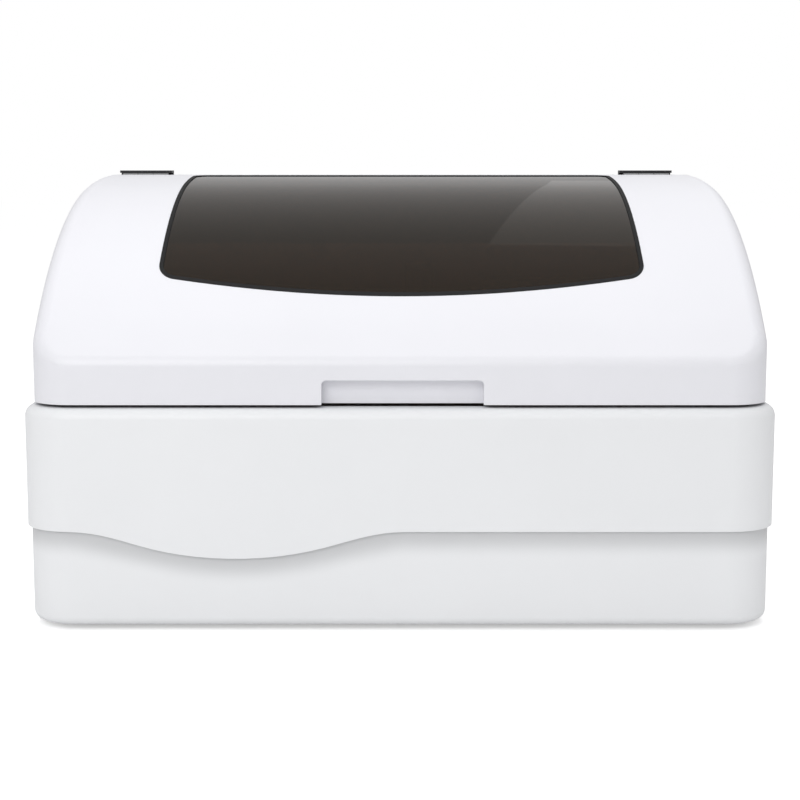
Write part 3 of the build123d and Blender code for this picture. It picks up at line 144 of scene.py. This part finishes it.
class ShaderTree:
    """A small helper that adds nodes to one material's tree."""

    def __init__(self, name: str) -> None:
        """Starts an empty material.

        Args:
            name: the material's name.
        """
        self.material = bpy.data.materials.new(name)
        self.material.use_nodes = True
        self.tree = self.material.node_tree
        self.tree.nodes.clear()
        self.output = self.add("ShaderNodeOutputMaterial")

    def add(self, kind: str, **values: object) -> bpy.types.Node:
        """Adds a node and sets its plain properties.

        Args:
            kind: the node's type name.
            values: property names and their values.

        Returns:
            The new node.
        """
        node = self.tree.nodes.new(kind)
        for key, value in values.items():
            setattr(node, key, value)
        return node

    def link(self, source: bpy.types.NodeSocket, target: bpy.types.NodeSocket) -> None:
        """Joins two sockets."""
        self.tree.links.new(source, target)

    def coordinates(self) -> bpy.types.NodeSocket:
        """Returns the object coordinates, in metres from the part's own origin."""
        return self.add("ShaderNodeTexCoord").outputs["Object"]

    def noise(self, scale: float, detail: float) -> bpy.types.NodeSocket:
        """Adds a noise pattern on the object coordinates.

        Args:
            scale: features per metre.
            detail: number of octaves.

        Returns:
            The noise value's socket.
        """
        pattern = self.add("ShaderNodeTexNoise")
        pattern.inputs["Scale"].default_value = scale
        pattern.inputs["Detail"].default_value = detail
        self.link(self.coordinates(), pattern.inputs["Vector"])
        return pattern.outputs["Fac"]

    def between(
        self, value: bpy.types.NodeSocket, low: float, high: float
    ) -> bpy.types.NodeSocket:
        """Maps a 0 to 1 value onto another range.

        Args:
            value: the socket to map.
            low: the result at 0.
            high: the result at 1.

        Returns:
            The mapped value's socket.
        """
        scale = self.add("ShaderNodeMapRange")
        scale.inputs["To Min"].default_value = low
        scale.inputs["To Max"].default_value = high
        self.link(value, scale.inputs["Value"])
        return scale.outputs["Result"]

    def blend(
        self, share: bpy.types.NodeSocket, first: Colour, second: Colour
    ) -> bpy.types.NodeSocket:
        """Mixes two colours by a pattern.

        Args:
            share: the pattern's socket.
            first: the colour at 0.
            second: the colour at 1.

        Returns:
            The mixed colour's socket.
        """
        mix = self.add("ShaderNodeMix", data_type="RGBA")
        mix.inputs[6].default_value = first
        mix.inputs[7].default_value = second
        self.link(share, mix.inputs[0])
        return mix.outputs[2]

    def math(
        self,
        operation: str,
        first: bpy.types.NodeSocket | float,
        second: bpy.types.NodeSocket | float = 0.0,
    ) -> bpy.types.NodeSocket:
        """Adds one step of arithmetic.

        Args:
            operation: its name in the Math node.
            first: a socket or a number.
            second: a socket or a number.

        Returns:
            The result's socket.
        """
        node = self.add("ShaderNodeMath", operation=operation)
        for slot, value in enumerate((first, second)):
            if isinstance(value, bpy.types.NodeSocket):
                self.link(value, node.inputs[slot])
            else:
                node.inputs[slot].default_value = value
        return node.outputs["Value"]

    def scaled(
        self, value: bpy.types.NodeSocket, offset: float, factor: float
    ) -> bpy.types.NodeSocket:
        """Adds an offset to a value, then multiplies it by a factor."""
        return self.math("MULTIPLY", self.math("ADD", value, offset), factor)

    def bump(
        self, height: bpy.types.NodeSocket, distance: float, strength: float
    ) -> bpy.types.NodeSocket:
        """Adds a bump from a height pattern.

        Args:
            height: the height's socket.
            distance: the height in metres that 1 stands for.
            strength: how much of it shows.

        Returns:
            The bent normal's socket.
        """
        bump = self.add("ShaderNodeBump")
        bump.inputs["Distance"].default_value = distance
        bump.inputs["Strength"].default_value = strength
        self.link(height, bump.inputs["Height"])
        return bump.outputs["Normal"]

    def principled(self, roughness: float, metallic: float = 0.0) -> bpy.types.Node:
        """Adds the main shader and joins it to the output."""
        shader = self.add("ShaderNodeBsdfPrincipled")
        shader.inputs["Roughness"].default_value = roughness
        shader.inputs["Metallic"].default_value = metallic
        self.link(shader.outputs["BSDF"], self.output.inputs["Surface"])
        return shader


@dataclass(frozen=True)
class PaintedLipShade:
    """A soft painted shade: the colour darkened under the lip where the upper casing laps over the
    lower one.
    """

    level: float
    wave_middle: float = -160.0 * MM
    wave_half: float = 165.0 * MM
    wave_drop: float = 26.6 * MM
    wave_fullness: float = 0.667
    fade: float = 30.0 * MM
    darkest: float = 0.70

    def apply(self, tree: ShaderTree, colour: bpy.types.NodeSocket) -> bpy.types.NodeSocket:
        """Paints shade: darkens a colour just below the lip's line, which dips in a wave on the
        front.

        Args:
            tree: the material's tree.
            colour: the plain colour's socket.

        Returns:
            The shaded colour's socket.
        """
        place = tree.add("ShaderNodeSeparateXYZ")
        tree.link(tree.coordinates(), place.inputs["Vector"])
        along = tree.scaled(place.outputs["X"], -self.wave_middle, 1 / self.wave_half)
        along = tree.math("MINIMUM", tree.math("MAXIMUM", along, -1.0), 1.0)
        swell = tree.math("COSINE", tree.math("MULTIPLY", along, pi))
        dip = tree.math("POWER", tree.scaled(swell, 1.0, 0.5), self.wave_fullness)
        dip = tree.math("MULTIPLY", dip, tree.math("LESS_THAN", place.outputs["Y"], 0.0))
        line = tree.math("SUBTRACT", self.level, tree.math("MULTIPLY", dip, self.wave_drop))
        below = tree.math("SUBTRACT", line, place.outputs["Z"])
        shade = tree.add("ShaderNodeMapRange", interpolation_type="SMOOTHERSTEP")
        shade.inputs["From Max"].default_value = self.fade
        shade.inputs["To Min"].default_value = self.darkest
        tree.link(below, shade.inputs["Value"])
        mixed = tree.add("ShaderNodeMix", data_type="RGBA", blend_type="MULTIPLY")
        mixed.inputs[0].default_value = 1.0
        tree.link(colour, mixed.inputs[6])
        tree.link(shade.outputs["Result"], mixed.inputs[7])
        return mixed.outputs[2]


@dataclass(frozen=True)
class MouldedPlastic:
    """A moulded or painted surface with a fine grain."""

    slot: Slot
    colour: Colour
    roughness: float = 0.42
    grain_scale: float = 1400.0
    grain_height: float = 0.05 * MM
    grain_strength: float = 0.25
    mottle: float = 0.02
    mottle_scale: float = 7.0
    gloss_spread: float = 0.12
    gloss_scale: float = 60.0
    # Where given, a painted shade: colour darkened under the lip to stand in for its shade.
    lip: PaintedLipShade | None = None

    def material(self) -> bpy.types.Material:
        """Returns the material: a faint mottle, an uneven gloss, a fine grain and, where a lip is
        given, a painted shade under it.
        """
        tree = ShaderTree(self.slot.value)
        shader = tree.principled(self.roughness)
        low, high = shaded(self.colour, 1 - self.mottle), shaded(self.colour, 1 + self.mottle)
        colour = tree.blend(tree.noise(self.mottle_scale, 3.0), low, high)
        # Painted shade: darkens the colour just under the lip's wavy line.
        if self.lip is not None:
            colour = self.lip.apply(tree, colour)
        tree.link(colour, shader.inputs["Base Color"])
        grain = tree.noise(self.grain_scale, 2.0)
        smoothest = self.roughness * (1 - self.gloss_spread)
        roughest = self.roughness * (1 + self.gloss_spread)
        gloss = tree.between(tree.noise(self.gloss_scale, 2.0), smoothest, roughest)
        tree.link(gloss, shader.inputs["Roughness"])
        tree.link(tree.bump(grain, self.grain_height, self.grain_strength), shader.inputs["Normal"])
        return tree.material


@dataclass(frozen=True)
class BrushedMetal:
    """A metal with fine marks of turning, drawing or blasting."""

    slot: Slot
    colour: Colour
    roughness: float = 0.3
    marks_scale: float = 900.0
    marks_height: float = 0.02 * MM
    marks_strength: float = 0.3
    cloud_scale: float = 25.0
    darkest: float = 0.94
    lightest: float = 1.05
    glossiest: float = 0.75
    dullest: float = 1.3

    def material(self) -> bpy.types.Material:
        """Returns the material: a metal whose gloss and height follow fine marks."""
        tree = ShaderTree(self.slot.value)
        shader = tree.principled(self.roughness, metallic=1.0)
        cloud = tree.noise(self.cloud_scale, 3.0)
        low, high = shaded(self.colour, self.darkest), shaded(self.colour, self.lightest)
        tree.link(tree.blend(cloud, low, high), shader.inputs["Base Color"])
        marks = tree.noise(self.marks_scale, 4.0)
        gloss = tree.between(marks, self.roughness * self.glossiest, self.roughness * self.dullest)
        tree.link(gloss, shader.inputs["Roughness"])
        tree.link(tree.bump(marks, self.marks_height, self.marks_strength), shader.inputs["Normal"])
        return tree.material


@dataclass(frozen=True)
class ClearPlastic:
    """A see-through plastic or glass wall that lets lamp light through."""

    slot: Slot
    tint: Colour
    roughness: float = 0.02
    index: float = 1.49
    smear: float = 0.01
    smear_scale: float = 30.0
    sheen_tint: Colour = (1.0, 1.0, 1.0, 1.0)

    def material(self) -> bpy.types.Material:
        """Returns the material: tinted glass, open to light from the lamps."""
        tree = ShaderTree(self.slot.value)
        glass = tree.principled(self.roughness)
        glass.inputs["Base Color"].default_value = self.tint
        glass.inputs["Transmission Weight"].default_value = 1.0
        glass.inputs["IOR"].default_value = self.index
        glass.inputs["Specular Tint"].default_value = self.sheen_tint
        tree.link(
            tree.between(
                tree.noise(self.smear_scale, 3.0), self.roughness, self.roughness + self.smear
            ),
            glass.inputs["Roughness"],
        )
        open_film = tree.add("ShaderNodeBsdfTransparent")
        open_film.inputs["Color"].default_value = self.tint
        path = tree.add("ShaderNodeLightPath")
        either = tree.add("ShaderNodeMath", operation="MAXIMUM")
        tree.link(path.outputs["Is Shadow Ray"], either.inputs[0])
        tree.link(path.outputs["Is Diffuse Ray"], either.inputs[1])
        mix = tree.add("ShaderNodeMixShader")
        tree.link(either.outputs["Value"], mix.inputs[0])
        tree.link(glass.outputs["BSDF"], mix.inputs[1])
        tree.link(open_film.outputs["BSDF"], mix.inputs[2])
        tree.link(mix.outputs["Shader"], tree.output.inputs["Surface"])
        return tree.material


Finish = MouldedPlastic | BrushedMetal | ClearPlastic

FINISHES: dict[Slot, Finish] = {
    finish.slot: finish
    for finish in (
        MouldedPlastic(Slot.CASING_UPPER, screen_colour(233, 234, 236), 0.45),
        # The lower casing's colour carries a painted shade under the upper casing's lip.
        MouldedPlastic(Slot.CASING_LOWER, screen_colour(234, 235, 237), 0.48, lip=PaintedLipShade(STEP_Z)),
        MouldedPlastic(Slot.HOOD_WHITE, screen_colour(230, 230, 235), 0.35),
        ClearPlastic(
            Slot.SMOKED_ACRYLIC,
            screen_colour(64, 46, 36),
            0.015,
            smear=0.005,
            sheen_tint=(1.0, 0.87, 0.7, 1.0),
        ),
        MouldedPlastic(Slot.BLACK_RUBBER, screen_colour(24, 24, 25), 0.7, 900.0),
        MouldedPlastic(Slot.BLACK_PLASTIC, screen_colour(30, 30, 32), 0.5),
        MouldedPlastic(Slot.DECK_GREY, screen_colour(196, 200, 204), 0.5),
        MouldedPlastic(Slot.WELL_DARK, screen_colour(58, 61, 66), 0.55),
        BrushedMetal(Slot.SHEET_STEEL, screen_colour(186, 188, 190), 0.42),
        MouldedPlastic(Slot.PANEL_PAINT, screen_colour(214, 217, 220), 0.5, 700.0, 0.08 * MM),
        BrushedMetal(Slot.STEEL, screen_colour(205, 206, 208), 0.2),
        BrushedMetal(Slot.ALUMINIUM, screen_colour(214, 216, 218), 0.32),
        BrushedMetal(Slot.BRONZE, screen_colour(186, 142, 84), 0.34),
        MouldedPlastic(Slot.GEAR_NYLON, screen_colour(226, 221, 204), 0.4),
        MouldedPlastic(Slot.TRAY_BLUE, screen_colour(64, 108, 158), 0.4),
        ClearPlastic(Slot.CLEAR_PLASTIC, screen_colour(244, 248, 250), 0.03),
        MouldedPlastic(Slot.BOTTLE_PLASTIC, screen_colour(222, 220, 208), 0.35),
        MouldedPlastic(Slot.ROTOR_BLACK, screen_colour(34, 35, 38), 0.45),
        MouldedPlastic(Slot.ARM_WHITE, screen_colour(232, 233, 235), 0.38),
        MouldedPlastic(Slot.BOARD_GREEN, screen_colour(28, 92, 58), 0.4),
    )
}


class MaterialStore:
    """Makes each material once, when the first piece asks for it."""

    def __init__(self) -> None:
        """Starts with no material made."""
        self.made: dict[Slot, bpy.types.Material] = {}

    def get(self, slot: Slot) -> bpy.types.Material:
        """Returns the slot's material."""
        if slot not in self.made:
            self.made[slot] = FINISHES[slot].material()
        return self.made[slot]


MATERIALS = MaterialStore()


def select_only(item: bpy.types.Object) -> None:
    """Selects one object and makes it the active one."""
    bpy.ops.object.select_all(action="DESELECT")
    item.hide_set(False)
    item.select_set(True)
    bpy.context.view_layer.objects.active = item


def paint(item: bpy.types.Object, slot: Slot) -> None:
    """Gives a piece one finish all over.

    Args:
        item: the piece.
        slot: the finish's slot.
    """
    item.data.materials.clear()
    item.data.materials.append(MATERIALS.get(slot))


MERGE_DISTANCE = 0.002 * MM
FLAT_ANGLE = radians(0.4)
SMOOTH_ANGLE = radians(32)
FACE_WEIGHT = 100


def finished_copy(node: str, body: Body, slot: Slot) -> bpy.types.Object:
    """Makes a welded, smoothly shaded copy of a CAD node that stands for it.

    Args:
        node: the CAD node's name.
        body: the body that it rides on.
        slot: its finish.

    Returns:
        The copy.
    """
    select_only(frame["nodes"][node])
    bpy.ops.object.duplicate()
    copy = bpy.context.view_layer.objects.active
    copy.name = f"{node}_finished"
    copy.data.name = copy.name
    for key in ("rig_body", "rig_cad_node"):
        if key in copy:
            del copy[key]
    copy.parent = None
    bpy.ops.object.mode_set(mode="EDIT")
    bpy.ops.mesh.select_all(action="SELECT")
    bpy.ops.mesh.remove_doubles(threshold=MERGE_DISTANCE)
    bpy.ops.mesh.dissolve_limited(angle_limit=FLAT_ANGLE)
    bpy.ops.object.mode_set(mode="OBJECT")
    bpy.ops.mesh.customdata_custom_splitnormals_clear()
    bpy.ops.object.shade_smooth_by_angle(angle=SMOOTH_ANGLE)
    weights = copy.modifiers.new("flat_faces_lead", "WEIGHTED_NORMAL")
    weights.keep_sharp = True
    weights.weight = FACE_WEIGHT
    bpy.ops.object.modifier_apply(modifier=weights.name)
    paint(copy, slot)
    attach(copy, body.value)
    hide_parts(node)
    log.info("%s: %d faces", copy.name, len(copy.data.polygons))
    return copy


@dataclass
class SubAssembly:
    """A group of CAD nodes of one body with their finishes."""

    body: Body
    nodes: dict[str, Slot]

    def dress(self) -> None:
        """Gives each node its finished copy."""
        for node, slot in self.nodes.items():
            finished_copy(node, self.body, slot)


@dataclass(frozen=True)
class Lamp:
    """One soft rectangular lamp: its place, the point it faces, its sides and its watts."""

    name: str
    place: tuple[float, float, float]
    aim: tuple[float, float, float]
    size: tuple[float, float]
    power: float
    turn: float | None = None
    mirrored: bool = True

    def add(self) -> None:
        """Hangs the lamp. One with a turn hangs level and is only turned about the vertical."""
        bpy.ops.object.light_add(type="AREA", location=self.place)
        lamp = bpy.context.active_object
        lamp.name = self.name
        lamp.data.shape = "RECTANGLE"
        lamp.data.size, lamp.data.size_y = self.size
        lamp.data.energy = self.power
        lamp.visible_glossy = self.mirrored
        if self.turn is None:
            aim = Vector(self.aim) - Vector(self.place)
            lamp.rotation_euler = aim.to_track_quat("-Z", "Y").to_euler()
        else:
            lamp.rotation_euler = (0.0, 0.0, self.turn)


# One overhead, one in front, and the long one behind that the window mirrors.
LAMPS = (
    Lamp("top_lamp", (0.0, 0.2, 2.4), (0.0, 0.0, 0.3), (2.4, 1.6), 24.0, mirrored=False),
    Lamp("front_lamp", (-0.8, -2.6, 1.7), (0.0, 0.0, 0.25), (1.8, 1.2), 24.0),
    Lamp(
        "window_strip",
        (1.348, 4.374, 2.2),
        (1.348, 4.374, 0.0),
        (1.6, 7.2),
        5.0,
        turn=radians(-5.6),
    ),
)


@dataclass
class Studio:
    """The camera, the floor, the world and the lamps."""

    camera_place: Vector = field(default_factory=lambda: Vector((0.0, -1.890, 0.4479)))
    camera_pitch: float = radians(7.78)
    lens: float = 75.8
    sensor: float = 36.0
    view_distance: float = 100.0
    floor_size: float = 40.0
    floor_grey: float = 0.86
    floor_glow: float = 0.45
    ambient: float = 0.64
    mirrored: float = 0.5

    def set_camera(self) -> None:
        """Adds the camera at the photograph's place and angle."""
        bpy.ops.object.camera_add(location=self.camera_place)
        camera = bpy.context.active_object
        camera.name = "studio_camera"
        camera.rotation_euler = (pi / 2 - self.camera_pitch, 0.0, 0.0)
        camera.data.lens = self.lens
        camera.data.sensor_width = self.sensor
        camera.data.clip_end = self.view_distance
        bpy.context.scene.camera = camera

    def set_world(self) -> None:
        """Makes the world white to the eye and soft on the object."""
        world = bpy.data.worlds.new("studio_world")
        bpy.context.scene.world = world
        world.use_nodes = True
        tree = world.node_tree
        tree.nodes.clear()
        output = tree.nodes.new("ShaderNodeOutputWorld")
        mix = tree.nodes.new("ShaderNodeMixShader")
        ambient = tree.nodes.new("ShaderNodeBackground")
        ambient.inputs["Color"].default_value = (1.0, 1.0, 1.0, 1.0)
        seen = tree.nodes.new("ShaderNodeBackground")
        seen.inputs["Color"].default_value = (1.0, 1.0, 1.0, 1.0)
        seen.inputs["Strength"].default_value = 1.0
        path = tree.nodes.new("ShaderNodeLightPath")
        dimmed = tree.nodes.new("ShaderNodeMapRange")
        dimmed.inputs["To Min"].default_value = self.ambient
        dimmed.inputs["To Max"].default_value = self.mirrored
        tree.links.new(path.outputs["Is Glossy Ray"], dimmed.inputs["Value"])
        tree.links.new(dimmed.outputs["Result"], ambient.inputs["Strength"])
        direct = tree.nodes.new("ShaderNodeMath")
        direct.operation = "MAXIMUM"
        tree.links.new(path.outputs["Is Camera Ray"], direct.inputs[0])
        tree.links.new(path.outputs["Is Transmission Ray"], direct.inputs[1])
        tree.links.new(direct.outputs["Value"], mix.inputs[0])
        tree.links.new(ambient.outputs["Background"], mix.inputs[1])
        tree.links.new(seen.outputs["Background"], mix.inputs[2])
        tree.links.new(mix.outputs["Shader"], output.inputs["Surface"])

    def set_floor(self) -> None:
        """Adds the pale floor, white to the eye but with the object's shadow."""
        bpy.ops.mesh.primitive_plane_add(size=self.floor_size)
        floor = bpy.context.active_object
        floor.name = "studio_floor"
        tree = ShaderTree("studio_floor")
        matt = tree.add("ShaderNodeBsdfDiffuse")
        grey = self.floor_grey
        matt.inputs["Color"].default_value = (grey, grey, grey, 1.0)
        glow = tree.add("ShaderNodeEmission")
        glow.inputs["Strength"].default_value = self.floor_glow
        path = tree.add("ShaderNodeLightPath")
        nothing = tree.add("ShaderNodeEmission")
        nothing.inputs["Strength"].default_value = 0.0
        mix = tree.add("ShaderNodeMixShader")
        total = tree.add("ShaderNodeAddShader")
        tree.link(path.outputs["Is Camera Ray"], mix.inputs[0])
        tree.link(nothing.outputs["Emission"], mix.inputs[1])
        tree.link(glow.outputs["Emission"], mix.inputs[2])
        tree.link(matt.outputs["BSDF"], total.inputs[0])
        tree.link(mix.outputs["Shader"], total.inputs[1])
        tree.link(total.outputs["Shader"], tree.output.inputs["Surface"])
        floor.data.materials.append(tree.material)

    def build(self) -> None:
        """Sets up the whole studio."""
        self.set_camera()
        self.set_world()
        self.set_floor()
        bpy.context.scene.view_settings.view_transform = "Standard"
        for lamp in LAMPS:
            lamp.add()
        log.info("studio set up")


ASSEMBLIES = (
    SubAssembly(
        Body.BASE,
        {
            "lower_casing": Slot.CASING_LOWER,
            "upper_casing": Slot.CASING_UPPER,
            "chassis_plate": Slot.SHEET_STEEL,
            "feet": Slot.BLACK_RUBBER,
            "deck_posts": Slot.STEEL,
            "work_deck": Slot.DECK_GREY,
            "rear_housing": Slot.CASING_UPPER,
            "rear_panel": Slot.PANEL_PAINT,
            "case_screws": Slot.STEEL,
        },
    ),
    SubAssembly(
        Body.BASE,
        {
            "fan_frame": Slot.BLACK_PLASTIC,
            "power_inlet": Slot.BLACK_PLASTIC,
            "data_ports": Slot.STEEL,
            "fluid_ports": Slot.STEEL,
            "hinge_brackets": Slot.STEEL,
            "hinge_pins": Slot.STEEL,
            "hinge_covers": Slot.BLACK_PLASTIC,
        },
    ),
    SubAssembly(
        Body.BASE,
        {
            "reagent_well": Slot.WELL_DARK,
            "reaction_well": Slot.WELL_DARK,
            "wash_pots": Slot.DECK_GREY,
            "column_bushes": Slot.BRONZE,
            "disk_bearings": Slot.STEEL,
            "disk_motors": Slot.BLACK_PLASTIC,
            "motor_brackets": Slot.SHEET_STEEL,
            "photometer": Slot.ALUMINIUM,
            "wash_rail": Slot.STEEL,
            "power_supply": Slot.SHEET_STEEL,
            "control_board": Slot.BOARD_GREEN,
            "syringe_pump": Slot.CLEAR_PLASTIC,
        },
    ),
    SubAssembly(
        Body.LID,
        {
            "lid_shell": Slot.HOOD_WHITE,
            "lid_window": Slot.SMOKED_ACRYLIC,
            "window_gasket": Slot.BLACK_RUBBER,
            "lid_bumpers": Slot.BLACK_RUBBER,
            "hinge_leaves": Slot.STEEL,
        },
    ),
    SubAssembly(
        Body.REAGENT_DISK,
        {
            "reagent_tray": Slot.TRAY_BLUE,
            "reagent_spindle": Slot.STEEL,
            "reagent_gear": Slot.GEAR_NYLON,
            "sample_tubes": Slot.CLEAR_PLASTIC,
            "reagent_bottles": Slot.BOTTLE_PLASTIC,
            "tray_knob": Slot.BLACK_PLASTIC,
        },
    ),
    SubAssembly(
        Body.REACTION_DISK,
        {
            "reaction_rotor": Slot.ROTOR_BLACK,
            "cuvette_segments": Slot.CLEAR_PLASTIC,
            "rotor_cover": Slot.ROTOR_BLACK,
            "reaction_spindle": Slot.STEEL,
            "reaction_gear": Slot.GEAR_NYLON,
        },
    ),
    SubAssembly(
        Body.SAMPLE_SWINGER,
        {"sample_arm": Slot.ARM_WHITE, "sample_probe": Slot.STEEL},
    ),
    SubAssembly(Body.MIXER_SWINGER, {"mixer_arm": Slot.ARM_WHITE}),
    SubAssembly(Body.MIXER_SPINNER, {"mixer_paddle": Slot.STEEL}),
    SubAssembly(Body.WASH_LIFTER, {"wash_head": Slot.BLACK_PLASTIC}),
    SubAssembly(Body.FAN, {"fan_rotor": Slot.BLACK_PLASTIC}),
    SubAssembly(Body.ROCKER, {"power_rocker": Slot.BLACK_PLASTIC}),
)

# Nodes of their own bodies that only need a finish.
LONE_NODES: dict[str, Slot] = {
    "reagent_pinion": Slot.STEEL,
    "reaction_pinion": Slot.STEEL,
    "sample_column": Slot.STEEL,
    "mixer_column": Slot.STEEL,
    "syringe_plunger": Slot.STEEL,
}


@dataclass
class FanGuard:
    """A wire guard over the rear fan: rings on two crossed wires."""

    across: float = 190.0 * MM
    back: float = 284.5 * MM
    height: float = 330.0 * MM
    radii: tuple[float, ...] = (12.0 * MM, 19.5 * MM, 27.0 * MM, 34.5 * MM)
    wire: float = 0.7 * MM
    ring_segments: int = 72
    wire_segments: int = 10
    spoke_segments: int = 12
    smooth_angle: float = radians(50)

    def join(self, pieces: list[bpy.types.Object], name: str) -> bpy.types.Object:
        """Joins pieces into one and names it.

        Args:
            pieces: the pieces to join.
            name: the joined piece's name.

        Returns:
            The joined piece, with its place in its mesh.
        """
        select_only(pieces[0])
        for piece in pieces:
            piece.select_set(True)
        bpy.ops.object.join()
        joined = bpy.context.view_layer.objects.active
        joined.name = name
        joined.data.name = name
        bpy.ops.object.transform_apply(location=True, rotation=True, scale=True)
        bpy.ops.object.shade_smooth_by_angle(angle=self.smooth_angle)
        return joined

    def build(self) -> None:
        """Makes the guard and puts it on the base."""
        wires = []
        middle = (self.across, self.back - self.wire, self.height)
        for radius in self.radii:
            bpy.ops.mesh.primitive_torus_add(
                location=middle,
                rotation=(pi / 2, 0.0, 0.0),
                major_radius=radius,
                minor_radius=self.wire,
                major_segments=self.ring_segments,
                minor_segments=self.wire_segments,
            )
            wires.append(bpy.context.active_object)
        for crossing in range(2):
            bpy.ops.mesh.primitive_cylinder_add(
                vertices=self.spoke_segments,
                radius=self.wire,
                depth=2 * self.radii[-1],
                location=middle,
                rotation=(0.0, pi / 4 + crossing * pi / 2, 0.0),
            )
            wires.append(bpy.context.active_object)
        guard = self.join(wires, "fan_guard")
        paint(guard, Slot.STEEL)
        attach(guard, Body.BASE.value)
        log.info("fan guard added")


def main() -> None:
    """Sets up the studio and dresses every sub-assembly."""
    logging.basicConfig(level=logging.INFO, format="%(name)s: %(message)s")
    Studio().build()
    for assembly in ASSEMBLIES:
        assembly.dress()
    for node, slot in LONE_NODES.items():
        paint(frame["nodes"][node], slot)
    FanGuard().build()


if __name__ == "__main__":
    main()
